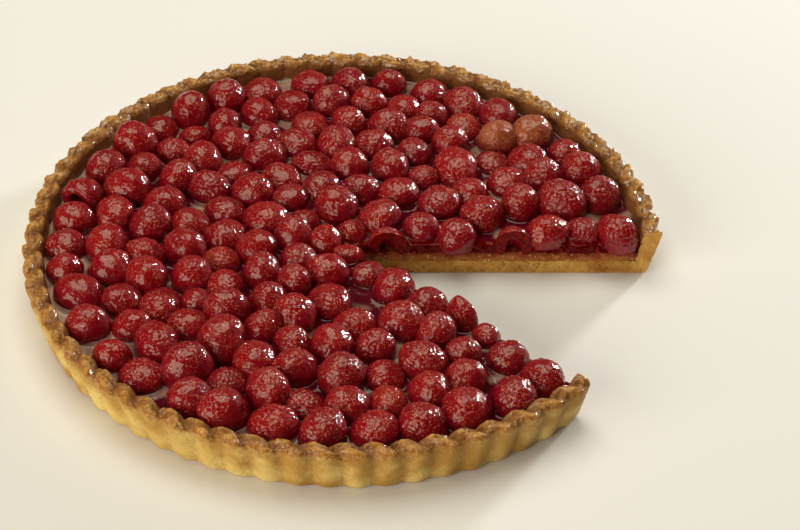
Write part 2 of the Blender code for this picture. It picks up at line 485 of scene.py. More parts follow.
@dataclass(frozen=True)
class CrustFinish:
    """Baked shortcrust: pale golden wall, browned craggy rim, wet with glaze in places."""

    pale: Triple = (0.80, 0.610, 0.215)
    golden: Triple = (0.46, 0.250, 0.045)
    brown: Triple = (0.36, 0.140, 0.017)
    dark: Triple = (0.10, 0.028, 0.005)
    # Painted highlight: lighter honey colour laid on the rim's crest.
    crest_painted_highlight: Triple = (0.62, 0.31, 0.050)
    # Inner wall colour: partly the berries' juice stain, partly painted shade.
    juice_stain_and_shade: Triple = (0.20, 0.065, 0.020)
    crumbs: Triple = (0.70, 0.440, 0.170)

    def material(self) -> Material:
        """Build the crust's material.

        Returns:
            The material.
        """
        paint = Paint("baked_crust")
        # bake_and_shade: the crust's browning together with painted shade in the flute creases and the
        # rim's furrows; it also darkens the outer wall towards its foot.
        bake_and_shade = paint.attribute("bake_and_shade")
        grain = paint.noise(900.0, 2.0, 0.7)
        speck = paint.noise(420.0, 4.0, 0.75)
        # Painted light: the wall's front-left, facing the window, is painted paler.
        lit_side = paint.band(paint.attribute("lit_side"), 0.0, 1.0, -0.04, 0.06)
        cloud = paint.maths("SUBTRACT", paint.noise(42.0), lit_side)
        uneven = paint.maths("ADD", bake_and_shade, paint.band(speck, 0.3, 0.7, -0.25, 0.25))
        colour = paint.over(self.pale, self.golden, cloud, 0.36, 0.60)
        # Brown and dark follow bake_and_shade: browning, and painted shade in the creases and furrows.
        colour = paint.over(colour, self.brown, uneven, 0.18, 0.80)
        colour = paint.over(colour, self.dark, uneven, 0.85, 1.25)
        # Painted highlight: the rim's crest is painted honey.
        colour = paint.over(colour, self.crest_painted_highlight, paint.attribute("crest_highlight"), 0.1, 1.0, 0.0, 0.85)
        pits = paint.band(paint.noise(650.0, 3.0, 0.7), 0.5, 0.36, 0.0, 0.75)
        colour = paint.mix(paint.times(bake_and_shade, pits), colour, self.dark)
        colour = paint.over(colour, self.brown, grain, 0.35, 0.7, 0.0, 0.14)
        sugar = paint.band(paint.noise(780.0, 2.0, 0.7), 0.54, 0.64, 0.0, 0.6)
        colour = paint.mix(paint.times(bake_and_shade, sugar), colour, self.crumbs)
        # Juice stain and painted shade on the inner wall below the rim.
        colour = paint.mix(paint.attribute("juice"), colour, self.juice_stain_and_shade)
        patches = paint.band(paint.noise(240.0, 2.0), 0.39, 0.54)
        return paint.finish({
            "Base Color": colour,
            "Roughness": 0.62,
            "Specular IOR Level": 0.25,
            "Coat Weight": paint.times(paint.attribute("wet"), patches),
            "Coat Roughness": 0.06,
            "Coat IOR": 1.5,
            "Coat Normal": paint.bump(paint.noise(520.0, 1.0), 0.5 * MM),
            "Normal": paint.bump(speck, 0.7 * MM, paint.bump(grain, 0.25 * MM)),
            **soft(0.08, (1.0, 0.5, 0.2), 1.2 * MM),
        })


@dataclass(frozen=True)
class CrumbFinish:
    """Pastry where the knife went through: pale, dry and crumbly."""

    pale: Triple = (0.76, 0.45, 0.11)
    toasted: Triple = (0.50, 0.21, 0.030)
    # Painted shade: darker colour for the crumb's hollows.
    hollow: Triple = (0.26, 0.09, 0.016)

    def material(self) -> Material:
        """Build the crumb's material.

        Returns:
            The material.
        """
        paint = Paint("cut_crumb")
        coarse = paint.noise(330.0, 4.0, 0.7)
        colour = paint.over(self.pale, self.toasted, paint.noise(70.0, 2.0), 0.35, 0.7)
        # Painted shade: darker where the coarse relief is low, in the crumb's hollows.
        colour = paint.over(colour, self.hollow, coarse, 0.46, 0.30, 0.0, 0.8)
        fine = paint.bump(paint.noise(1100.0, 3.0, 0.7), 0.4 * MM)
        return paint.finish({
            "Base Color": colour,
            "Roughness": 0.85,
            "Normal": paint.bump(coarse, 1.0 * MM, fine),
            **soft(0.12, (1.0, 0.6, 0.3), 1.5 * MM),
        })


@dataclass(frozen=True)
class CreamFinish:
    """Cream stained by the berries' juice, most of all near its top."""

    cream: Triple = (0.40, 0.15, 0.032)
    stained: Triple = (0.25, 0.040, 0.014)
    juice: Triple = (0.13, 0.004, 0.004)
    top: float = 12.0 * MM
    bottom: float = 7.0 * MM

    def material(self) -> Material:
        """Build the cream's material.

        Returns:
            The material.
        """
        paint = Paint("stained_cream")
        rise = paint.band(paint.height(), self.bottom, self.top)
        blotch = paint.band(paint.noise(170.0, 4.0, 0.65), 0.3, 0.7, -0.45, 0.45)
        lump = paint.noise(420.0, 3.0, 0.6)
        soak = paint.maths("ADD", rise, blotch)
        colour = paint.over(self.cream, self.stained, soak, 0.15, 0.75)
        colour = paint.over(colour, self.juice, soak, 0.85, 1.15)
        colour = paint.over(colour, self.cream, lump, 0.58, 0.68, 0.0, 0.7)
        return paint.finish({
            "Base Color": colour,
            "Roughness": 0.4,
            "Specular IOR Level": 0.15,
            "Normal": paint.bump(lump, 0.8 * MM),
            **soft(0.2, (1.0, 0.3, 0.2), 1.5 * MM),
        })


@dataclass(frozen=True)
class BerryFinish:
    """Ripe raspberry under a clear wet glaze."""

    dark: Triple = (0.185, 0.0008, 0.0080)
    bright: Triple = (0.310, 0.0013, 0.0024)
    # Painted glints: light pink specks that stand in for glints on the glaze.
    painted_glint: Triple = (0.66, 0.225, 0.160)
    # Painted shade: darker colour towards each berry's foot.
    foot: Triple = (0.215, 0.0008, 0.0110)
    pale: Triple = (0.39, 0.220, 0.078)
    faded_from: Pair = (17 * MM, 24 * MM)

    def material(self) -> Material:
        """Build the berries' material.

        Returns:
            The material.
        """
        paint = Paint("glazed_berry")
        rough = paint.attribute("rough")
        up = paint.attribute("rise")
        mottle = paint.noise(620.0, 3.0, 0.6)
        net = paint.noise(1300.0, 2.0, 0.6)
        ripeness_and_crease_shade = paint.maths("ADD", paint.band(mottle, 0.3, 0.72, -0.15, 0.55), paint.attribute("tint"))
        # Painted shade: the creases between beads are darker, the bead tops a little lighter.
        ripeness_and_crease_shade = paint.maths("ADD", ripeness_and_crease_shade, paint.band(paint.attribute("bead"), 0.0, 1.0, -0.25, 0.12))
        colour = paint.over(self.dark, self.bright, ripeness_and_crease_shade, 0.0, 1.0)
        # Painted shade: each berry darkens towards its foot.
        colour = paint.over(self.foot, colour, up, 0.12, 0.72)
        faded = paint.over(self.pale, self.bright, mottle, 0.47, 0.62, 0.0, 0.8)
        rise = paint.band(paint.height(), *self.faded_from)
        patches = paint.band(mottle, 0.40, 0.60, 0.15, 1.0)
        colour = paint.mix(paint.times(paint.attribute("pale"), rise, patches), colour, faded)
        # Painted glints: light specks on the upper parts of rough berries.
        painted_glints = paint.times(
            paint.band(net, 0.57, 0.62),
            paint.band(rough, 0.0, 1.0, 0.65, 1.0),
            paint.band(paint.noise(250.0, 1.0), 0.42, 0.58, 0.3, 1.0),
            paint.band(up, 0.3, 0.85),
        )
        beaded = paint.band(rough, 0.0, 1.0, 0.45, 1.0)
        uneven = paint.times(paint.band(paint.noise(200.0, 1.0), 0.42, 0.58, 0.45, 1.0), beaded)
        glaze = paint.bump(paint.noise(900.0, 0.0), 0.40 * MM, strength=uneven)
        glaze = paint.bump(paint.noise(520.0, 0.0), 0.26 * MM, glaze, uneven)
        glaze = paint.bump(paint.cells(480.0), -0.32 * MM, glaze, beaded)
        return paint.finish({
            "Base Color": paint.mix(painted_glints, colour, self.painted_glint),
            "Roughness": 0.5,
            "Specular IOR Level": 0.05,
            "Coat Weight": paint.band(up, 0.0, 0.28, 0.3, 1.0),
            "Coat Roughness": 0.02,
            "Coat IOR": 1.46,
            "Coat Normal": paint.bump(paint.noise(260.0, 0.0), 0.30 * MM, glaze),
            "Normal": paint.bump(net, 0.20 * MM),
            **soft(0.25, (1.0, 0.08, 0.05), 1.6 * MM),
        })


@dataclass(frozen=True)
class FleshFinish:
    """Raspberry flesh where the knife went through it."""

    flesh: Triple = (0.29, 0.0025, 0.0030)
    seam: Triple = (0.06, 0.0006, 0.0012)

    def material(self) -> Material:
        """Build the flesh's material.

        Returns:
            The material.
        """
        paint = Paint("berry_flesh")
        mottle = paint.noise(500.0, 2.0)
        edges = paint.cells(400.0, "DISTANCE_TO_EDGE")
        colour = paint.over(self.flesh, self.seam, edges, 0.02, 0.16, 0.85, 0.0)
        return paint.finish({
            "Base Color": paint.over(colour, self.seam, mottle, 0.62, 0.40, 0.0, 0.6),
            "Roughness": 0.35,
            "Specular IOR Level": 0.12,
            "Normal": paint.bump(mottle, 0.4 * MM),
            **soft(0.3, (1.0, 0.10, 0.07), 2.0 * MM),
        })


@dataclass(frozen=True)
class GlazeFinish:
    """Set syrup glaze: a deep red pool with a mirror-smooth skin."""

    deep: Triple = (0.095, 0.0015, 0.0110)
    # Pale colour: partly the glaze's own cloudiness, partly a painted reflection of the overhead light.
    milky_and_reflection: Triple = (0.46, 0.290, 0.230)
    pulp: Triple = (0.11, 0.0012, 0.0020)

    def material(self) -> Material:
        """Build the glaze's material.

        Returns:
            The material.
        """
        paint = Paint("syrup_glaze")
        pulp = paint.attribute("pulp")
        cloud = paint.band(paint.noise(140.0, 2.0), 0.3, 0.5, 0.5, 1.0)
        # Milky colour: partly cloudy glaze, partly a painted reflection on the pool.
        colour = paint.mix(paint.times(paint.attribute("milk_and_reflection"), cloud), self.deep, self.milky_and_reflection)
        return paint.finish({
            "Base Color": paint.mix(pulp, colour, self.pulp),
            "Roughness": 0.25,
            "Specular IOR Level": 0.02,
            "Coat Weight": paint.band(pulp, 0.0, 1.0, 1.0, 0.25),
            "Coat Roughness": 0.03,
            "Coat IOR": 1.38,
            "Coat Normal": paint.bump(paint.noise(260.0, 2.0), 0.12 * MM),
        })


@dataclass(frozen=True)
class FloorFinish:
    """Plain pale cream ground."""

    colour: Triple = (0.845, 0.85, 0.915)
    shade: Triple = (0.8281, 0.833, 0.8967)

    def material(self) -> Material:
        """Build the floor's material.

        Returns:
            The material.
        """
        paint = Paint("pale_floor")
        colour = paint.mix(paint.noise(3.0, 2.0), self.colour, self.shade)
        return paint.finish({"Base Color": colour, "Roughness": 0.7, "Specular IOR Level": 0.2})


# Pastry case and cream: sections swept between the two cuts


@dataclass
class SweptSection:
    """A layer's section, from the tart's axis outwards, swept round from cut to cut."""

    plan: TartPlan
    upper: list[Pair]
    lower: list[Pair]
    flat_until: int
    across: int
    columns: int

    def spot(self, i: int, j: int) -> Pair:
        """Radius and height of one point of the section."""
        pairs = zip(self.upper[i], self.lower[i])
        return tuple(blend(above, below, j / self.across) for above, below in pairs)

    def build(self, place: Callable[[float, float, float, Side], Vector]) -> tuple[list, list, list]:
        """Make the layer's points and faces.

        Args:
            place: Gives the point for a radius, a height, an angle and a side.

        Returns:
            The points, the faces and each face's material slot, 1 on the cuts.
        """
        points: list[Vector] = []
        faces: list[Face] = []
        last = len(self.upper) - 1
        caps: list[dict[tuple[int, int], int]] = []
        for side, turn in ((Side.FIRST_CUT, 0.0), (Side.LAST_CUT, self.plan.sweep)):
            cap: dict[tuple[int, int], int] = {}
            for i, j in product(range(last + 1), range(self.across + 1)):
                if i == 0 and caps:
                    cap[i, j] = caps[0][i, j]
                    continue
                cap[i, j] = len(points)
                points.append(place(*self.spot(i, j), self.plan.first_cut + turn, side))
            caps.append(cap)
            for i, j in product(range(last), range(self.across)):
                faces.append((cap[i, j], cap[i + 1, j], cap[i + 1, j + 1], cap[i, j + 1]))
        slots = [1] * len(faces)
        loop = [(i, 0) for i in range(self.flat_until, last)]
        loop += [(last, j) for j in range(self.across + 1)]
        loop += [(i, self.across) for i in range(last - 1, self.flat_until - 1, -1)]
        rings = [[caps[0][key] for key in loop]]
        for column in range(1, self.columns):
            angle = self.plan.first_cut + self.plan.sweep * column / self.columns
            rings.append(list(range(len(points), len(points) + len(loop))))
            points += [place(*self.spot(i, j), angle, Side.ROUND) for i, j in loop]
        rings.append([caps[1][key] for key in loop])
        for one, two in zip(rings, rings[1:]):
            faces += [(one[k], one[k + 1], two[k + 1], two[k]) for k in range(len(loop) - 1)]
        for j, edge in ((0, 0), (self.across, -1)):
            outward = [caps[0][i, j] for i in range(self.flat_until + 1)]
            inward = [caps[1][i, j] for i in range(self.flat_until, 0, -1)]
            faces.append(tuple(outward + [ring[edge] for ring in rings[1:-1]] + inward))
        slots += [0] * (len(faces) - len(slots))
        return points, faces, slots


@dataclass
class PastryCase:
    """Fluted case with a craggy rim, one lump to a flute, and two crumbly cut faces."""

    plan: TartPlan
    columns_per_flute: int = 19
    base_steps: int = 170
    wall_steps: int = 41
    across: int = 9
    flute_depth: float = 2.2 * MM
    lobe_depth: float = 1.3 * MM
    crest_dip: float = 2.4 * MM
    twist: float = 0.5
    crag_height: float = 1.5 * MM
    crag_size: float = 4.0 * MM
    grit_height: float = 0.9 * MM
    grit_size: float = 1.7 * MM
    wave_height: float = 0.3 * MM
    wave_size: float = 16 * MM
    wear: float = 0.09 * MM
    crumb_depth: float = 1.1 * MM
    crumb_size: float = 2.6 * MM
    craggy_toward: float = math.radians(50)
    roped_toward: float = math.radians(230)
    # Direction of the wall's side that is painted paler as painted light.
    lit_side_toward: float = math.radians(238)
    foot_corners: tuple[Pair, ...] = ((0.0, 0.0), (0.9, 0.6), (1.5, 2.0))
    rim_corners: tuple[Pair, ...] = ((-0.4, -5.0), (0.0, -2.6), (-0.4, -1.0), (-1.6, -0.1), (-3.4, -0.1))
    lip_corners: tuple[Pair, ...] = ((-1.2, -5.0), (-0.5, -1.6), (0.4, -0.6), (1.3, -0.2), (2.6, -0.8))

    def corners(self, radius: float, height: float, offsets: Sequence[Pair]) -> list[Pair]:
        """Corners set off from one place by millimetres."""
        return [(radius + out * MM, height + up * MM) for out, up in offsets]

    def outer_line(self) -> list[Pair]:
        """The wall's outer side, from its foot up to the crest.

        Returns:
            Points as (radius, height).
        """
        plan = self.plan
        line = self.corners(plan.foot_radius, 0.0, self.foot_corners)
        line += self.corners(plan.rim_radius, plan.rim_height, self.rim_corners)
        return resample(line, self.wall_steps)

    def inner_line(self) -> list[Pair]:
        """The wall's inner side, from its foot up over the lip to the crest.

        Returns:
            Points as (radius, height).
        """
        plan = self.plan
        line = [(plan.inner_foot_radius, plan.base_thickness)]
        line += self.corners(plan.inner_top_radius, plan.rim_height, self.lip_corners)
        line += self.corners(plan.rim_radius, plan.rim_height, self.rim_corners[-1:])
        return resample(line, self.wall_steps)

    def outerness(self, radius: float, height: float) -> float:
        """Share of the way through the wall.

        Args:
            radius: Distance from the axis.
            height: Height above the underside.

        Returns:
            The share, 0 inside and 1 outside.
        """
        plan = self.plan
        rise = height / (plan.rim_height - 3.0 * MM)
        inner = blend(plan.inner_foot_radius - 1.5 * MM, plan.inner_top_radius, rise)
        outer = blend(plan.foot_radius, plan.rim_radius, rise)
        return min(max((radius - inner) / (outer - inner), 0.0), 1.0)

    def by_rim(self, height: float, low: float, high: float) -> float:
        """Ease from 0 to 1 between two heights that count from the rim in millimetres."""
        rim = self.plan.rim_height
        return smoothstep(rim + low * MM, rim + high * MM, height)

    def place(self, radius: float, height: float, angle: float, side: Side) -> Vector:
        """Press flutes, lumps and crags into a point of the plain turned case.

        Args:
            radius: Distance from the axis before shaping.
            height: Height before shaping.
            angle: Direction from the axis.
            side: The cut face the point is on, or ROUND.

        Returns:
            The shaped point.
        """
        plan = self.plan
        outer = self.outerness(radius, height)
        phase = angle * plan.flutes / math.tau
        bulge = ((math.cos(math.pi * phase) ** 2 + 0.03) / 1.03) ** 0.75
        lump = abs(math.cos(math.pi * (phase + self.twist * (1 - outer)))) ** 0.75
        spot = toward(angle, radius, height)
        if radius > plan.inner_foot_radius - 2 * MM:
            rim = self.by_rim(height, -6.0, -2.0)
            depth = self.flute_depth * blend(0.7, 1.0, height / plan.rim_height)
            inside = smoothstep(plan.base_thickness, plan.rim_height, height)
            radius -= outer * depth * (1 - bulge)
            radius -= (1 - outer) * inside * self.lobe_depth * lump
            crag = crags(spot, self.crag_size, 3)
            grit = crags(spot, self.grit_size, 2, gaps=2.0)
            wild = blend(0.75, 1.0, smoothstep(-0.2, 0.6, math.cos(angle - self.craggy_toward)))
            rough = wild * rim * (self.crag_height * crag + self.grit_height * grit)
            radius += 0.45 * rough + self.wave_height * noise.noise(spot / self.wave_size) * outer
            radius += (1 - rim) * self.wear * grit
            rope = blend(0.4, 1.0, smoothstep(-0.35, 0.35, math.cos(angle - self.roped_toward)))
            height += rim * (rough - rope * self.crest_dip * (1 - lump))
        radius = min(radius, plan.rim_radius)
        shaped = toward(angle, radius, max(height, 0.0))
        if side is Side.ROUND or radius < 1.0 * MM:
            return shaped
        pit = abs(crags(spot, self.crumb_size, 4, falloff=0.9))
        return shaped + behind(angle, side) * self.crumb_depth * pit * smoothstep(0.0, 0.8 * MM, shaped.z)

    def build(self, crust: Material, crumb: Material) -> Object:
        """Make the case, parent it to the root body and hide its solid.

        Args:
            crust: Finish of the baked outside.
            crumb: Finish of the cut faces.

        Returns:
            The case's object.
        """
        plan = self.plan
        steps = self.base_steps
        upper = [(plan.inner_foot_radius * i / steps, plan.base_thickness) for i in range(steps)]
        lower = [(plan.foot_radius * i / steps, 0.0) for i in range(steps)]
        section = SweptSection(
            plan,
            upper + self.inner_line(),
            lower + self.outer_line(),
            steps,
            self.across,
            round(plan.flutes * self.columns_per_flute * plan.sweep / math.tau),
        )
        points, faces, slots = section.build(self.place)
        case = piece_from("pastry_case_baked", points, faces, (crust, crumb), slots)
        case.data.set_sharp_from_angle(angle=math.radians(70))
        store(case.data, [self.marks(*vertex.co) for vertex in case.data.vertices])
        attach(case, "root")
        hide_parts("pastry_case")
        return case

    def marks(self, x: float, y: float, height: float) -> dict[str, float]:
        """How the oven and the glaze marked the crust at one point, with painted light and shade among the
        marks.

        Args:
            x: Place along X.
            y: Place along Y.
            height: Height above the underside.

        Returns:
            How browned and shaded, wet, highlighted at the crest, lit at the side, and juice-stained and
            shaded the crust is there.
        """
        plan = self.plan
        outer = self.outerness(math.hypot(x, y), height)
        top = self.by_rim(height, -3.6, -1.4)
        phase = math.atan2(y, x) * plan.flutes / math.tau
        crease = 1 - abs(math.cos(math.pi * phase)) ** 0.7
        scorch = self.by_rim(height, -11.0, -3.0)
        furrow = 1 - abs(math.cos(math.pi * (phase + self.twist * (1 - outer)))) ** 0.6
        inner = (1 - outer) * smoothstep(plan.base_thickness, 16 * MM, height)
        foot = 1 - smoothstep(0.0, 2.5 * MM, height)
        # Painted shade: the rope's furrows at the top and, on the outer wall, the flute creases are
        # darkened. The rim's top and the scorch band are the crust's own browning, the inner wall is
        # browned too, and the outer wall darkens towards its foot.
        browning_and_shade = max(0.75 * top, 0.6 * inner, 0.42 * scorch * (1.1 - crease)) + 0.5 * furrow * top
        near_side = smoothstep(-0.2, 0.5, -math.sin(math.atan2(y, x) + 0.5))
        shiny = max(0.6 * inner, top * (1 - smoothstep(0.6, 1.0, outer)))
        return {
            "bake_and_shade": browning_and_shade + 0.36 * crease * outer + 0.25 * foot * outer,
            "wet": shiny * blend(1.0, 0.6, near_side) + blend(0.5, 0.1, near_side) * top,
            # The rim's top, painted lighter in honey as a painted highlight.
            "crest_highlight": self.by_rim(height, -1.2, 0.8),
            # The wall's front-left, painted paler as painted light from the window on that side.
            "lit_side": smoothstep(0.86, 0.985, facing(x, y, self.lit_side_toward)),
            # The inner wall below the rim is darkened and reddened: partly the berries' juice stain,
            # partly painted shade.
            "juice": 0.85 * (1 - self.by_rim(height, -2.8, 0.4)) * (1 - outer),
        }


@dataclass
class CreamLayer:
    """Flat layer of cream, seen only at the two cuts."""

    plan: TartPlan
    steps: int = 150
    across: int = 6
    columns: int = 220
    overlap: float = 0.25 * MM
    tuck: float = 2.0 * MM
    stretch: float = 1.02
    lump_depth: float = 1.0 * MM
    lump_size: float = 3.5 * MM

    def place(self, radius: float, height: float, angle: float, side: Side) -> Vector:
        """Give the cut cream its lumps, and leave the rest plain.

        Args:
            radius: Distance from the axis.
            height: Height above the underside.
            angle: Direction from the axis.
            side: The cut face the point is on, or ROUND.

        Returns:
            The point.
        """
        spot = toward(angle, radius, height)
        if side is Side.ROUND or radius < 1.0 * MM:
            return spot
        lump = crags(spot, self.lump_size, 3, falloff=0.9)
        return spot + behind(angle, side) * self.lump_depth * (0.35 + lump)

    def side_line(self, tuck: float, height: float) -> list[Pair]:
        """One side of the section, drawn out a little to reach into the case."""
        radii = [self.plan.filling_radius * i / self.steps for i in range(self.steps + 1)]
        return [(min(radius * self.stretch, radius + tuck), height) for radius in radii]

    def build(self, finish: Material) -> Object:
        """Make the layer, parent it to the root body and hide its solid.

        Args:
            finish: The cream's finish.

        Returns:
            The layer's object.
        """
        upper = self.side_line(self.tuck, self.plan.cream_top + self.overlap)
        lower = self.side_line(0.3 * self.tuck, self.plan.base_thickness - self.overlap)
        section = SweptSection(self.plan, upper, lower, self.steps, self.across, self.columns)
        points, faces, _ = section.build(self.place)
        layer = piece_from("cream_layer", points, faces, (finish,))
        layer.data.set_sharp_from_angle(angle=math.radians(60))
        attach(layer, "root")
        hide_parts("cream_filling")
        return layer


# Berries


@dataclass(frozen=True)
class Berry:
    """Place, size and lean of one berry."""

    x: float
    y: float
    radius: float
    height: float
    lean: Pair
    spin: float
    halved: bool


@dataclass
class BerryLayout:
    """Rings of berries settled against each other, with a chosen row along each cut.

    The rows hold each berry's distance from the axis, its inset from the cut and its radius, all
    in millimetres.
    """

    plan: TartPlan
    field_radius: float = 138.4 * MM
    mean_radius: float = 9.6 * MM
    rim_extra: float = 0.7 * MM
    spread: float = 0.8 * MM
    smallest: float = 7.6 * MM
    largest: float = 11.3 * MM
    slenderness: float = 1.42
    heights: Pair = (0.78, 1.28)
    ring_pitch: float = 17.0 * MM
    arc_pitch: float = 19.2 * MM
    rings: int = 8
    jitter: float = 1.5 * MM
    squeeze: float = 0.975
    settling_steps: int = 140
    lean: float = math.radians(9)
    halved_within: float = 1.5 * MM
    overhang: float = 0.4
    seed: int = 78
    first_row: tuple[Triple, ...] = (
        (3.5, 9.5, 7.2),
        (20.6, 0.8, 9.0),
        (36.6, 9.6, 8.4),
        (53.6, 5.6, 9.4),
        (79.9, 0.8, 8.8),
        (97.0, 7.0, 9.4),
        (112.8, 9.6, 8.2),
        (129.0, 7.6, 9.3),
    )
    last_row: tuple[Triple, ...] = (
        (7.3, 4.8, 7.0),
        (23.6, 8.7, 7.6),
        (38.6, 8.9, 9.4),
        (57.6, 6.6, 9.3),
        (75.0, 0.8, 8.4),
        (91.6, 3.4, 6.4),
        (108.2, 7.4, 9.0),
        (127.4, 8.4, 9.5),
    )

    def cut_rows(self) -> list[list[float]]:
        """Place the berries that stand along the two cuts.

        Returns:
            The berries as [x, y, radius].
        """
        berries = []
        for side, row in ((Side.FIRST_CUT, self.first_row), (Side.LAST_CUT, self.last_row)):
            direction = self.plan.direction(side)
            for distance, inset, radius in row:
                place = (toward(direction) * distance + behind(direction, side) * inset) * MM
                berries.append([place.x, place.y, radius * MM])
        return berries

    def ringed(self, draw: random.Random) -> list[list[float]]:
        """Set berries in rings from the rim inwards.

        Args:
            draw: Random source for places and sizes.

        Returns:
            The berries as [x, y, radius].
        """
        berries = []
        for ring in range(self.rings):
            extra = self.rim_extra if ring == 0 else 0.0
            radius = self.field_radius - self.mean_radius - ring * self.ring_pitch
            count = max(3, round(math.tau * radius / (self.arc_pitch + 2 * extra)))
            start = draw.uniform(0, math.tau)
            for step in range(count):
                angle = start + math.tau * step / count
                distance = radius + draw.uniform(-self.jitter, self.jitter)
                size = draw.gauss(self.mean_radius + extra, self.spread)
                size = min(max(size, self.smallest), self.largest)
                berries.append([distance * math.cos(angle), distance * math.sin(angle), size])
        return berries

    def settle(self, berries: list[list[float]], fixed: list[list[float]]) -> list[list[float]]:
        """Nudge the berries apart until they only just press on each other.

        Args:
            berries: The loose berries, changed in place.
            fixed: Berries that stay where they are.

        Returns:
            The loose berries.
        """
        for _ in range(self.settling_steps):
            for i, one in enumerate(berries):
                for other in fixed + berries[:i]:
                    dx, dy = one[0] - other[0], one[1] - other[1]
                    apart = math.hypot(dx, dy) or 0.3 * MM
                    reach = self.squeeze * (one[2] + other[2])
                    if apart >= reach:
                        continue
                    share = 1.0 if other in fixed else 0.5
                    push = (reach - apart) / apart * share
                    one[0] += dx * push
                    one[1] += dy * push
                    if share < 1.0:
                        other[0] -= dx * push
                        other[1] -= dy * push
                distance = math.hypot(one[0], one[1])
                if distance + one[2] > self.field_radius:
                    inward = (self.field_radius - one[2]) / distance
                    one[0] *= inward
                    one[1] *= inward
        return berries

    def berries(self) -> list[Berry]:
        """Place every berry of the tart.

        Returns:
            The berries, the two cut rows first.
        """
        draw = random.Random(self.seed)
        row = self.cut_rows()
        loose = [
            [x, y, size]
            for x, y, size in self.ringed(draw)
            if all(math.hypot(x - there[0], y - there[1]) > 0.8 * (there[2] + size) for there in row)
        ]
        made: list[Berry] = []
        for x, y, radius in row + self.settle(loose, row):
            height = radius * self.slenderness * draw.uniform(*self.heights)
            lean = (draw.gauss(0, self.lean), draw.gauss(0, self.lean))
            spin = draw.uniform(0, math.tau)
            inset = self.plan.inset(x, y)
            chosen = len(made) < len(row)
            halved = chosen and inset < self.halved_within
            if not chosen and inset < (1 - self.overhang) * radius:
                continue
            if halved:
                lean = (0.0, 0.0)
            made.append(Berry(x, y, radius, height, lean, spin, halved))
        return made


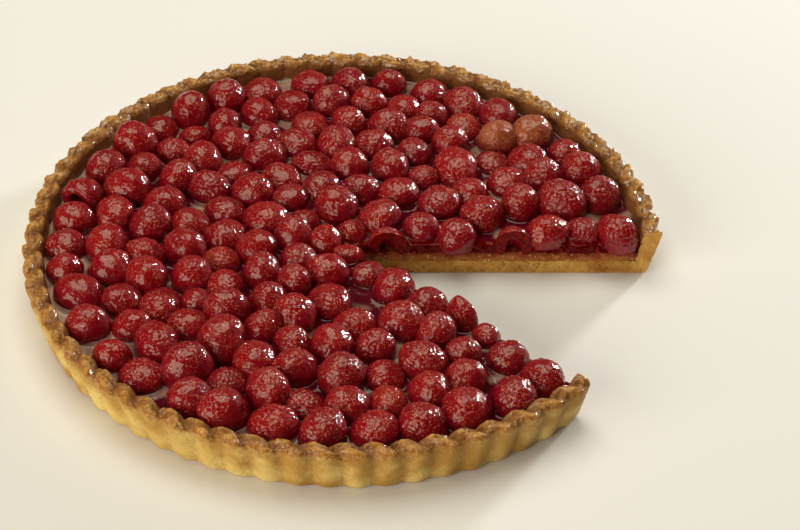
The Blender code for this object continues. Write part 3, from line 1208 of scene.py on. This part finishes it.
@dataclass(frozen=True)
class BerryForm:
    """Form of one raspberry at a radius of 1, covered in rows of beads."""

    seed: int
    tall: float = 1.42
    bulge: float = 0.46
    dome: float = 2.1
    bead_pitch: float = 0.27
    bead_height: float = 0.030
    lumpiness: float = 0.05
    lop: float = 0.0
    oval: float = 1.03
    hollow: bool = False
    core: float = 0.50
    # Rise for a hollow form's cavity, and the least rise for its outside; the berry material paints shade
    # at low rise, so these set how much painted shade they get.
    inside_rise: float = 0.35
    outside_rise: float = 0.7
    detail: int = 5

    def outline(self) -> list[Pair]:
        """Draw half the berry's outline, from the tip down to the middle of the foot.

        Returns:
            Corners as (radius, height).
        """
        corners = []
        steps = 40
        for k in range(steps + 1):
            share = math.cos(math.pi / 2 * k / steps)
            height = self.bulge + (self.tall - self.bulge) * share
            corners.append(((1 - share**self.dome) ** 0.5, height))
        for k in range(1, 13):
            share = k / 12
            corners.append((1 - 0.13 * share**1.6, self.bulge * (1 - share)))
        if not self.hollow:
            return corners + [(0.75, -0.05), (0.0, -0.06)]
        core = self.core
        corners += [(0.80, -0.07), (core + 0.16, -0.06), (core + 0.04, 0.06), (core, 0.25)]
        return corners + [(core * 0.92, 0.55), (core * 0.74, 0.80), (core * 0.42, 0.97), (0.0, 1.02)]

    def beads(self, line: np.ndarray, draw: random.Random) -> np.ndarray:
        """Set beads in rows from the tip down to the foot.

        Args:
            line: The berry's outline.
            draw: Random source for their places.

        Returns:
            Their middles.
        """
        along = lengths(line)
        middles = []
        where = 0.0
        while where < along[-1]:
            radius = float(np.interp(where, along, line[:, 0]))
            height = float(np.interp(where, along, line[:, 1]))
            count = max(1, round(math.tau * radius / self.bead_pitch))
            start = draw.uniform(0, math.tau)
            for k in range(count):
                angle = start + math.tau * (k + draw.uniform(-0.16, 0.16)) / count
                shift = draw.uniform(-0.14, 0.14) * self.bead_pitch
                middles.append((radius * math.cos(angle), radius * math.sin(angle), height + shift))
            where += self.bead_pitch * 0.88
        return np.array(middles)

    def swelling(self, places: np.ndarray, middles: np.ndarray) -> np.ndarray:
        """How far each place is raised by its bead.

        Args:
            places: Places on the plain berry.
            middles: The beads' middles.

        Returns:
            The share of a bead's height, from 0 in a crease to 1 on a bead.
        """
        gaps = np.sort(np.linalg.norm(places[:, None] - middles[None], axis=2), axis=1)
        near = gaps[:, 0] / (0.62 * self.bead_pitch)
        bead = np.sqrt(np.clip(1 - near**2, 0.0, 1.0))
        crease = np.clip((gaps[:, 1] - gaps[:, 0]) / (0.35 * self.bead_pitch), 0.0, 1.0)
        return 0.55 * bead + 0.45 * crease

    def mesh(self, name: str, finish: Material) -> Mesh:
        """Make the berry's mesh, with its beads and its heights as attributes.

        Args:
            name: The mesh's name.
            finish: The berry's finish.

        Returns:
            The mesh, standing on the origin.
        """
        line = np.array(resample(self.outline(), 120))
        made = bpy.data.meshes.new(name)
        with edited(made) as shape:
            bmesh.ops.create_icosphere(shape, subdivisions=self.detail, radius=1.0)
            shape.verts.ensure_lookup_table()
            balls = np.array([vertex.co[:] for vertex in shape.verts])
            down = np.arccos(np.clip(balls[:, 2], -1, 1)) / math.pi
            around = np.arctan2(balls[:, 1], balls[:, 0])
            grid = np.linspace(0.0, 1.0, len(line))
            radius = np.interp(down, grid, line[:, 0])
            height = np.interp(down, grid, line[:, 1])
            places = np.stack([radius * np.cos(around), radius * np.sin(around), height], 1)
            bead = self.swelling(places, self.beads(line, random.Random(self.seed)))
            outward = places - np.array([0.0, 0.0, 0.55 * self.tall])
            outward /= np.linalg.norm(outward, axis=1)[:, None]
            for vertex, place, way, rise in zip(shape.verts, places, outward, bead):
                bump = noise.noise(Vector(place) * 1.3 + Vector((self.seed, 0, 0)))
                bump += 0.45 * noise.noise(Vector(place) * 3.1 + Vector((0, self.seed, 0)))
                moved = Vector(place) + Vector(way) * (rise * self.bead_height + bump * self.lumpiness)
                slant = self.lop * (max(moved.z, 0.0) / self.tall) ** 2
                vertex.co = (moved.x * self.oval + slant, moved.y / self.oval, moved.z)
            highest = max(vertex.co.z for vertex in shape.verts)
            bmesh.ops.scale(shape, vec=(1.0, 1.0, self.tall / highest), verts=shape.verts)
            bmesh.ops.recalc_face_normals(shape, faces=shape.faces)
            if not self.hollow:
                hidden = [face for face in shape.faces if face.calc_center_median().z < 0.0]
                bmesh.ops.delete(shape, geom=hidden, context="FACES")
            kept = [vertex.index for vertex in shape.verts]
        made.materials.append(finish)
        rises = places[kept, 2] / self.tall
        if self.hollow:
            # Hollow forms: the cavity gets inside_rise and the outside at least outside_rise, which among
            # other things set their painted foot shade.
            lip = np.argmin(line[:, 1]) / (len(line) - 1)
            rises = np.where(down[kept] > lip, self.inside_rise, np.maximum(rises, self.outside_rise))
        store(made, [{"bead": swell, "rise": rise} for swell, rise in zip(bead[kept], rises)])
        made.shade_smooth()
        return made


class Quarter(Enum):
    """Quarter of the tart that a set of berries belongs to."""

    REAR = "rear"
    LEFT = "left"
    FRONT = "front"
    NEAR_CUT = "near_cut"


@dataclass
class RaspberryHeap:
    """All the berries: whole ones set by nodes, and the halved ones at the cuts.

    Spots are given in millimetres. The berry nearest to open_spot lies on its side.
    """

    plan: TartPlan
    layout: BerryLayout
    foot: float = 13.0 * MM
    whole_scale: float = 1.02
    rough_beads: tuple[float, ...] = (0.065, 0.052, 0.040, 0.058, 0.034, 0.046)
    smooth_beads: tuple[float, ...] = (0.018, 0.024, 0.016, 0.030, 0.021)
    open_beads: float = 0.018
    open_core: float = 0.36
    open_lean: Triple = (math.radians(-97), 0.0, math.radians(-27))
    open_shift: Triple = (0.15, 0.05, 0.72)
    open_middle: float = 0.62
    open_size: float = 0.94
    pale_spots: tuple[Pair, ...] = ((78.6, 81.8), (103.8, 84.7))
    flushed_spots: tuple[Pair, ...] = ((63.9, 99.5), (-60.0, -20.0), (20.0, -110.0))
    open_spot: Pair = (-119.9, 36.3)
    quarter_sweep: float = math.radians(79.0)
    tint: Pair = (0.18, 0.13)
    flush: float = 0.30
    pale_share: float = 0.85
    flushed_pale: float = 0.12
    smooth_by_cut: Pair = (8 * MM, 16 * MM)
    form_seed: int = 5
    setting_seed: int = 23
    halved_seed: int = 40
    tip_room: float = 1.5 * MM
    halved_stretch: float = 1.12
    halved_foot: float = 11.7 * MM

    @property
    def halved_looks(self) -> dict[str, float]:
        """Tint, grain and paleness of a halved berry's skin."""
        return {"tint": 0.2, "rough": 0.8, "pale": 0.0}

    def forms(self, finish: Material) -> list[Object]:
        """Make the berry forms that the nodes pick from, in a collection of their own.

        Args:
            finish: The berries' finish.

        Returns:
            The forms: rough ones, smooth ones and last the open one.
        """
        forms = []
        store_room = bpy.data.collections.new("berry_forms")
        bpy.context.scene.collection.children.link(store_room)
        draw = random.Random(self.form_seed)
        heights = self.rough_beads + self.smooth_beads + (self.open_beads,)
        for number, bead_height in enumerate(heights):
            form = BerryForm(
                seed=number + 1,
                bulge=draw.uniform(0.38, 0.56),
                dome=draw.uniform(1.8, 2.3),
                bead_pitch=draw.uniform(0.23, 0.28),
                bead_height=bead_height,
                lumpiness=draw.uniform(0.05, 0.09),
                lop=draw.uniform(0.0, 0.16),
                oval=draw.uniform(1.0, 1.12),
                hollow=number == len(heights) - 1,
                core=self.open_core,
            )
            name = f"berry_form_{number:02d}"
            forms.append(bpy.data.objects.new(name, form.mesh(name, finish)))
            store_room.objects.link(forms[-1])
        return forms

    def wire(self, wiring: Wiring, given: dict) -> dict:
        """Wire what sets a berry form on each point.

        Args:
            wiring: The tree's wiring.
            given: The tree's input sockets.

        Returns:
            The instances' inputs.
        """
        room = {"Collection": given["Forms"], "Separate Children": True, "Reset Children": True}
        scaling = {0: wiring.named("size", "FLOAT_VECTOR"), "Scale": given["Size"]}
        scaled = wiring.add("ShaderNodeVectorMath", {"operation": "SCALE"}, scaling)
        turn = {0: wiring.named("turn", "FLOAT_VECTOR")}
        return {
            "Instance": wiring.add("GeometryNodeCollectionInfo", inputs=room).outputs[0],
            "Pick Instance": True,
            "Instance Index": wiring.named("form", "INT"),
            "Rotation": wiring.add("FunctionNodeEulerToRotation", inputs=turn).outputs[0],
            "Scale": scaled.outputs[0],
        }

    def quarter_of(self, berry: Berry) -> Quarter:
        """The quarter that a berry stands in."""
        turn = (math.atan2(berry.y, berry.x) - self.plan.first_cut) % math.tau
        return list(Quarter)[min(int(turn / self.quarter_sweep), 3)]

    def nearest(self, berries: Sequence[Berry], spots: Sequence[Pair]) -> list[Berry]:
        """The berries nearest to some spots."""
        places = [(x * MM, y * MM) for x, y in spots]
        return [min(berries, key=lambda one: math.dist((one.x, one.y), place)) for place in places]

    def settings(self, berries: Sequence[Berry], quarter: Quarter, draw: random.Random) -> list[dict]:
        """Choose how a quarter's whole berries are set.

        Args:
            berries: All whole berries of the tart.
            quarter: The quarter.
            draw: Random source for forms, tints and grain.

        Returns:
            Each berry's place and the values of its attributes.
        """
        pale = self.nearest(berries, self.pale_spots)
        flushed = self.nearest(berries, self.flushed_spots)
        opened = self.nearest(berries, (self.open_spot,))
        rough, smooth = len(self.rough_beads), len(self.smooth_beads)
        rows = []
        for berry in berries:
            if self.quarter_of(berry) is not quarter:
                continue
            radius = berry.radius
            place = Vector((berry.x, berry.y, self.foot))
            lean = self.open_lean if berry in opened else (*berry.lean, 0.0)
            turn = Euler(lean).to_matrix() @ Matrix.Rotation(berry.spin, 3, "Z")
            glossy = smoothstep(-0.06, 0.12, 0.35 * berry.y - 0.9 * berry.x)
            is_rough = draw.random() > 0.25 + 0.6 * glossy
            form = draw.randrange(rough) if is_rough else rough + draw.randrange(smooth)
            if berry in opened:
                form = rough + smooth
                radius *= self.open_size
                place += Vector(self.open_shift) * berry.radius
                place -= turn @ Vector((0.0, 0.0, self.open_middle * berry.height))
            tint = self.tint[0] + draw.gauss(0.0, self.tint[1])
            faded = self.flushed_pale if berry in flushed else 0.0
            grain = min(max(draw.gauss(0.85 - 0.75 * glossy, 0.2), 0.0), 1.0)
            by_cut = 1 - smoothstep(*self.smooth_by_cut, self.plan.inset(berry.x, berry.y))
            rows.append({
                "place": place,
                "form": form,
                "turn": tuple(turn.to_euler()),
                "size": (radius, radius, berry.height / BerryForm.tall),
                "tint": tint + (self.flush if berry in flushed else 0.0),
                "pale": self.pale_share if berry in pale else faded,
                "rough": grain * blend(1.0, 0.25, by_cut),
            })
        return rows

    def hold_down(self, mesh: Mesh) -> None:
        """Round off the highest tips, so that they stay inside the solids' box.

        Args:
            mesh: The berries' mesh.
        """
        knee = CAD_BOX[1][2] - self.tip_room
        for vertex in mesh.vertices:
            above = vertex.co.z - knee
            if above > 0:
                vertex.co.z = knee + 0.9 * self.tip_room * (1 - math.exp(-above / self.tip_room))

    def halve(self, number: int, berry: Berry, finish: Material, flesh: Material) -> Object:
        """Make a berry that the knife has halved, with its hollow core open.

        Args:
            number: Number for its name.
            berry: Its place and size.
            finish: Finish of its skin.
            flesh: Finish of its cut side.

        Returns:
            The piece.
        """
        seed = self.halved_seed + number
        form = BerryForm(seed, bead_height=0.04, hollow=True, core=0.46, lumpiness=0.07)
        name = f"halved_raspberry_{number}"
        mesh = form.mesh(name, finish)
        mesh.materials.append(flesh)
        turn = Matrix.Rotation(berry.spin, 4, "Z")
        tall = self.halved_stretch * berry.height + self.foot - self.halved_foot
        size = Matrix.Diagonal((berry.radius, berry.radius, tall / form.tall, 1.0))
        mesh.transform(Matrix.Translation((berry.x, berry.y, self.halved_foot)) @ size @ turn)
        near_last = math.atan2(berry.y, berry.x) < self.plan.last_cut / 2
        side = Side.LAST_CUT if near_last else Side.FIRST_CUT
        outward = -behind(self.plan.direction(side), side)
        with edited(mesh) as shape:
            everything = shape.verts[:] + shape.edges[:] + shape.faces[:]
            bmesh.ops.bisect_plane(
                shape, geom=everything, plane_co=(0, 0, 0), plane_no=outward, clear_outer=True
            )
            rims = [edge for edge in shape.edges if edge.is_boundary]
            for item in bmesh.ops.triangle_fill(shape, edges=rims, use_beauty=True)["geom"]:
                if isinstance(item, bmesh.types.BMFace):
                    item.material_index = 1
            bmesh.ops.recalc_face_normals(shape, faces=shape.faces)
        mesh.set_sharp_from_angle(angle=math.radians(60))
        store(mesh, [self.halved_looks] * len(mesh.vertices))
        return linked(name, mesh)

    def build(self, finish: Material, flesh: Material) -> list[Object]:
        """Make every berry.

        Args:
            finish: The berries' finish.
            flesh: Finish of the halved berries' cut sides.

        Returns:
            The berry pieces.
        """
        berries = self.layout.berries()
        whole = [berry for berry in berries if not berry.halved]
        halved = [berry for berry in berries if berry.halved]
        forms = self.forms(finish)
        tree = setting_tree("set_berries", {"Forms": "Collection", "Size": "Float"}, self.wire)
        room = bpy.data.collections["berry_forms"]
        values = {"Forms": room, "Finish": finish, "Size": self.whole_scale}
        draw = random.Random(self.setting_seed)
        pieces = []
        for quarter in Quarter:
            rows = self.settings(whole, quarter, draw)
            pieces.append(set_on(rows, f"raspberries_{quarter.value}", tree, values))
            self.hold_down(pieces[-1].data)
        pieces += [self.halve(i + 1, berry, finish, flesh) for i, berry in enumerate(halved)]
        for form in forms:
            bpy.data.objects.remove(form)
        bpy.data.collections.remove(room)
        for piece in pieces:
            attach(piece, "root")
            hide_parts("raspberries")
        return pieces


@dataclass(frozen=True)
class Grains:
    """One kind of grain on the cuts: how many, how large, how high up, and the clumps they form."""

    name: str
    count: int
    radius: Pair
    levels: Pair
    clump: float


@dataclass
class CutDebris:
    """What the knife left on the two cuts: crushed berry beads and pastry crumbs."""

    plan: TartPlan
    beads: Grains = Grains("crushed_beads", 46, (0.9 * MM, 1.8 * MM), (12.0 * MM, 15.8 * MM), 9 * MM)
    crumbs: Grains = Grains("pastry_crumbs", 620, (0.22 * MM, 0.55 * MM), (0.8 * MM, 11.0 * MM), 6 * MM)
    reach: Pair = (4 * MM, 137.0 * MM)
    turn_seed: int = 7

    def grain(self, name: str) -> Object:
        """Make the small lumpy ball that is repeated, with its faces in a fixed order.

        Args:
            name: Its name.

        Returns:
            The ball.
        """
        ball = bmesh.new()
        bmesh.ops.create_uvsphere(ball, u_segments=8, v_segments=6, radius=1.0)
        ball.verts.index_update()
        points = [vertex.co * (1 + 0.28 * noise.noise(vertex.co * 1.7)) for vertex in ball.verts]
        faces = sorted([corner.index for corner in face.verts] for face in ball.faces)
        ball.free()
        mesh = bpy.data.meshes.new(name)
        mesh.from_pydata(points, [], faces)
        mesh.shade_smooth()
        return linked(name, mesh)

    def wire(self, wiring: Wiring, given: dict) -> dict:
        """Wire what sets a turned grain on each point.

        Args:
            wiring: The tree's wiring.
            given: The tree's input sockets.

        Returns:
            The instances' inputs.
        """
        chance = {"Max": (math.tau, math.tau, math.tau), "Seed": given["Seed"]}
        turn = wiring.add("FunctionNodeRandomValue", {"data_type": "FLOAT_VECTOR"}, chance).outputs[0]
        grain = wiring.add("GeometryNodeObjectInfo", inputs={"Object": given["Grain"]})
        return {
            "Instance": grain.outputs["Geometry"],
            "Rotation": wiring.add("FunctionNodeEulerToRotation", inputs={0: turn}).outputs[0],
            "Scale": wiring.named("size", "FLOAT"),
        }

    def scatter(self, kind: Grains, finish: Material) -> Object:
        """Scatter grains over both cuts.

        Args:
            kind: The kind of grain.
            finish: Their material.

        Returns:
            The piece, a plain mesh.
        """
        draw = random.Random(kind.count)
        rows = []
        while len(rows) < kind.count:
            side = draw.choice((Side.FIRST_CUT, Side.LAST_CUT))
            direction = self.plan.direction(side)
            distance = draw.uniform(*self.reach)
            height = blend(*kind.levels, draw.random() ** 1.4)
            spot = toward(direction) * distance + Vector((0.0, 0.0, height))
            if noise.noise(spot / kind.clump) < draw.uniform(-0.35, 0.35):
                continue
            size = blend(*kind.radius, draw.random() ** 2)
            inset = size * draw.uniform(-0.15, 0.9)
            rows.append({"place": spot + behind(direction, side) * inset, "size": size})
        grain = self.grain("grain")
        tree = setting_tree("set_grains", {"Grain": "Object", "Seed": "Int"}, self.wire)
        values = {"Grain": grain, "Finish": finish, "Seed": self.turn_seed}
        made = set_on(rows, kind.name, tree, values)
        bpy.data.objects.remove(grain)
        return made

    def build(self, pulp: Material, crumb: Material) -> list[Object]:
        """Make the beads and crumbs.

        Args:
            pulp: Finish of crushed berry.
            crumb: Finish of pastry crumbs.

        Returns:
            The two pieces.
        """
        beads = self.scatter(self.beads, pulp)
        crumbs = self.scatter(self.crumbs, crumb)
        for piece, slot in ((beads, "glazed_berry"), (crumbs, "baked_pastry")):
            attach(piece, "root")
        return [beads, crumbs]


@dataclass
class GlazePool:
    """The glaze between the berries, drawn up where it meets them and the case."""

    plan: TartPlan
    layout: BerryLayout
    step: float = 0.64 * MM
    climb: float = 1.7 * MM
    most_climbs: float = 1.25
    reach: float = 0.6 * MM
    hidden: float = 1.1 * MM
    wall_radius: float = 140.3 * MM
    into_wall: float = 1.5 * MM
    foot_share: float = 0.97
    wave_height: float = 0.22 * MM
    wave_size: float = 7 * MM
    lump_size: float = 3 * MM
    gap_width: Pair = (-0.7 * MM, 0.5 * MM)
    by_wall: Pair = (108 * MM, 124 * MM)
    # Direction in which the pool by the wall turns milky, with painted reflection.
    milk_and_reflection_toward: float = math.radians(156)
    bottom: float = 11.9 * MM
    pulp_reach: float = 7.0 * MM
    pulp_height: float = 0.7 * MM
    skirt_radius: float = 138.6 * MM
    skirt_rows: int = 6
    skirt_depth: float = 0.6 * MM
    opened_share: float = 0.9
    batch: int = 20000

    def milk_and_reflection(self, x: float, y: float, distance: float) -> float:
        """Share of milky glaze with painted reflection: open places by the wall at the left and back, and
        few others.

        Args:
            x: Place along X.
            y: Place along Y.
            distance: Distance to the nearest berry or the wall.

        Returns:
            The share, from 0 to 1.
        """
        by_wall = smoothstep(*self.by_wall, math.hypot(x, y))
        far_side = smoothstep(0.35, 0.6, facing(x, y, self.milk_and_reflection_toward))
        few = 0.65 * smoothstep(0.04, 0.26, noise.noise(Vector((x, y, 0.0)) / (15 * MM)))
        return smoothstep(*self.gap_width, distance) * max(by_wall * far_side, few)

    def pulp(self, x: float, y: float) -> float:
        """Share of crushed berry in the glaze, 1 along the cuts and 0 away from them."""
        return 1 - smoothstep(0.4 * self.pulp_reach, self.pulp_reach, self.plan.inset(x, y))

    def heights(self, flat: np.ndarray, berries: Sequence[Berry]) -> tuple[np.ndarray, np.ndarray]:
        """Height of the pool, and its distance to the nearest berry or wall.

        Args:
            flat: Places as rows of x and y.
            berries: All the berries.

        Returns:
            The heights and the distances, negative inside a berry or the wall.
        """
        middles = np.array([(berry.x, berry.y) for berry in berries])
        radii = np.array([berry.radius * self.foot_share for berry in berries])
        height = np.full(len(flat), self.plan.glaze_level)
        distance = np.full(len(flat), 1.0)
        for start in range(0, len(flat), self.batch):
            rows = slice(start, start + self.batch)
            gaps = np.linalg.norm(flat[rows][:, None] - middles[None], axis=2) - radii[None]
            wall = self.wall_radius - np.linalg.norm(flat[rows], axis=1)
            gaps = np.concatenate([gaps, wall[:, None]], axis=1)
            climbs = np.exp(-np.clip(gaps, 0.0, None) / self.reach)
            height[rows] += self.climb * np.minimum(climbs.sum(axis=1), self.most_climbs)
            distance[rows] = gaps.min(axis=1)
        return height, distance

    def rippled(self, x: float, y: float, height: float) -> float:
        """Raise a point of the pool by waves and crushed berry.

        Args:
            x: Place along X.
            y: Place along Y.
            height: Height of the still pool there.

        Returns:
            The new height.
        """
        spot = Vector((x, y, 0.0))
        height += self.wave_height * noise.noise(spot / self.wave_size)
        pulp = self.pulp(x, y)
        if pulp > 0:
            height += pulp * (0.5 + noise.noise(spot / self.lump_size)) * self.pulp_height
        return height

    def sheet(
        self, start: float, end: float, berries: Sequence[Berry], skirts: Sequence[bool]
    ) -> tuple[list, list[Face]]:
        """Make the part of the pool between two directions.

        Args:
            start: First direction from the centre.
            end: Last direction from the centre.
            berries: All the berries.
            skirts: Whether the first and last edge lies on a cut and is closed downwards.

        Returns:
            The points and the faces.
        """
        first = np.array([math.cos(start), math.sin(start)])
        last = np.array([math.cos(end), math.sin(end)])
        count = int(math.ceil(self.wall_radius * 1.25 / abs(math.sin(end - start)) / self.step))
        steps = np.arange(count + 1) * self.step
        flat = (steps[:, None, None] * first + steps[None, :, None] * last).reshape(-1, 2)
        inside = np.linalg.norm(flat, axis=1) < self.wall_radius + self.into_wall
        number = np.full(len(flat), -1)
        number[inside] = np.arange(inside.sum())
        flat = flat[inside]
        height, distance = self.heights(flat, berries)
        still = np.column_stack([flat, height]).tolist()
        points: list = [(x, y, self.rippled(x, y, level)) for x, y, level in still]
        grid = number.reshape(count + 1, count + 1)
        corners = np.stack([grid[:-1, :-1], grid[1:, :-1], grid[1:, 1:], grid[:-1, 1:]], axis=-1)
        corners = corners.reshape(-1, 4)
        corners = corners[(corners >= 0).all(axis=1)]
        shown = distance[corners].max(axis=1) > -self.hidden
        faces = [tuple(row) for row in corners[shown].tolist()]
        for wanted, edge, way in zip(skirts, (grid[:, 0], grid[0, :]), (last, first)):
            if wanted:
                faces += self.skirt(edge[edge >= 0], Vector((*way, 0.0)), points, berries)
        return points, faces

    def skirt(
        self, edge: np.ndarray, way: Vector, points: list, berries: Sequence[Berry]
    ) -> list[Face]:
        """Close the pool downwards along a cut, apart from where a halved berry is open.

        Args:
            edge: Point numbers along the cut, from the centre outwards.
            way: Direction from the cut into the tart.
            points: The sheet's points, to which the skirt's are added.
            berries: All the berries.

        Returns:
            The skirt's faces.
        """
        tops = [points[k] for k in edge if math.hypot(*points[k][:2]) < self.skirt_radius]
        upper = edge.tolist()[:len(tops)]
        halved = [berry for berry in berries if berry.halved]
        opened = [
            any(math.dist(top[:2], (one.x, one.y)) < self.opened_share * one.radius for one in halved)
            for top in tops
        ]
        faces = []
        for row in range(1, self.skirt_rows + 1):
            lower = list(range(len(points), len(points) + len(tops)))
            for x, y, height in tops:
                spot = Vector((x, y, blend(height, self.bottom, row / self.skirt_rows)))
                spot += way * (0.4 + noise.noise(spot / self.lump_size)) * self.skirt_depth
                points.append(tuple(spot))
            for k in range(len(tops) - 1):
                if not opened[k]:
                    faces.append((upper[k], upper[k + 1], lower[k + 1], lower[k]))
            upper = lower
        return faces

    def face_up(self, mesh: Mesh) -> None:
        """Turn the open sheet's faces upwards.

        Args:
            mesh: The pool's mesh.
        """
        with edited(mesh) as shape:
            wrong = [face for face in shape.faces if face.normal.z < -0.1]
            bmesh.ops.reverse_faces(shape, faces=wrong)

    def build(self, finish: Material) -> Object:
        """Make the pool.

        Args:
            finish: The glaze's finish.

        Returns:
            The pool's object.
        """
        berries = self.layout.berries()
        first = self.plan.first_cut
        turns = (0.0, self.plan.sweep / 3, 2 * self.plan.sweep / 3, self.plan.sweep)
        points: list = []
        faces: list[Face] = []
        for number, (start, end) in enumerate(zip(turns, turns[1:])):
            skirts = (number == 0, number == 2)
            more, extra = self.sheet(first + start, first + end, berries, skirts)
            faces += [tuple(k + len(points) for k in face) for face in extra]
            points += more
        pool = piece_from("syrup_glaze", points, faces, (finish,))
        self.face_up(pool.data)
        flat = np.array([vertex.co[:2] for vertex in pool.data.vertices])
        spots = np.column_stack([flat, self.heights(flat, berries)[1]]).tolist()
        rows = [{"milk_and_reflection": self.milk_and_reflection(x, y, gap), "pulp": self.pulp(x, y)} for x, y, gap in spots]
        store(pool.data, rows)
        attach(pool, "root")
        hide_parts("raspberries")
        return pool


# Studio


@dataclass
class SoftLight:
    """A flat light that faces the tart."""

    name: str
    direction: Triple
    distance: float
    size: Pair
    radiance: float
    tint: Triple

    def build(self) -> Object:
        """Place the light.

        Returns:
            The light's object.
        """
        data = bpy.data.lights.new(self.name, "AREA")
        data.shape = "RECTANGLE"
        data.size, data.size_y = self.size
        data.energy = self.radiance * math.pi * self.size[0] * self.size[1]
        data.color = self.tint
        made = linked(self.name, data)
        way = Vector(self.direction).normalized()
        made.location = way * self.distance
        made.rotation_euler = way.to_track_quat("Z", "Y").to_euler()
        return made


@dataclass
class Studio:
    """Pale floor, the camera, and soft lights where the berries' highlights place them."""

    camera_place: Triple = (0.0, -0.80453, 0.66870)
    camera_aim: Triple = (0.02664, 0.00574, 0.0)
    camera_roll: float = math.radians(1.6)
    lens: float = 99.0
    ambient: Triple = (0.030, 0.029, 0.025)
    floor_half: float = 4.0
    floor_level: float = -0.2 * MM
    lights: tuple[SoftLight, ...] = (
        SoftLight("overhead_softbox", (-0.10, 0.27, 0.96), 1.9, (1.5, 1.7), 3.45, (1.0, 0.935, 0.71)),
        SoftLight("front_left_window", (-0.70, -0.70, 0.24), 1.6, (1.5, 1.7), 4.1, (1.0, 0.90, 0.68)),
        SoftLight("right_spark", (0.66, 0.66, 0.22), 1.5, (0.18, 0.18), 165.0, (1.0, 0.97, 0.90)),
    )

    def camera(self) -> Object:
        """Place the camera.

        Returns:
            The camera's object.
        """
        data = bpy.data.cameras.new("camera")
        data.sensor_width = 36.0
        data.lens = self.lens
        made = linked("camera", data)
        place = Vector(self.camera_place)
        aim = (Vector(self.camera_aim) - place).to_track_quat("-Z", "Y").to_matrix().to_4x4()
        made.matrix_world = Matrix.Translation(place) @ aim @ Matrix.Rotation(self.camera_roll, 4, "Z")
        bpy.context.scene.camera = made
        return made

    def floor(self, finish: Material) -> Object:
        """Lay the floor.

        Args:
            finish: The floor's finish.

        Returns:
            The floor's object.
        """
        half = self.floor_half
        corners = ((-half, -half), (half, -half), (half, half), (-half, half))
        points = [(x, y, self.floor_level) for x, y in corners]
        made = piece_from("floor", points, [(0, 1, 2, 3)], (finish,))
        return made

    def build(self, finish: Material) -> None:
        """Set up the studio.

        Args:
            finish: The floor's finish.
        """
        self.floor(finish)
        self.camera()
        for light in self.lights:
            light.build()
        world = bpy.data.worlds.new("studio")
        world.use_nodes = True
        world.node_tree.nodes["Background"].inputs["Color"].default_value = (*self.ambient, 1.0)
        bpy.context.scene.world = world
        bpy.context.scene.view_settings.view_transform = "Standard"


def main() -> None:
    """Build the tart and its studio, and report each piece."""
    logging.basicConfig(level=logging.INFO, format="%(name)s: %(message)s")
    plan = TartPlan()
    layout = BerryLayout(plan)
    Studio().build(FloorFinish().material())
    crumb = CrumbFinish().material()
    pieces = [PastryCase(plan).build(CrustFinish().material(), crumb)]
    pieces.append(CreamLayer(plan).build(CreamFinish().material()))
    flesh = FleshFinish().material()
    pieces += RaspberryHeap(plan, layout).build(BerryFinish().material(), flesh)
    pieces.append(GlazePool(plan, layout).build(GlazeFinish().material()))
    pieces += CutDebris(plan).build(flesh, crumb)
    for piece in pieces:
        triangles = sum(len(face.vertices) - 2 for face in piece.data.polygons)
        LOG.info("%s has %d triangles", piece.name, triangles)


if __name__ == "__main__":
    main()
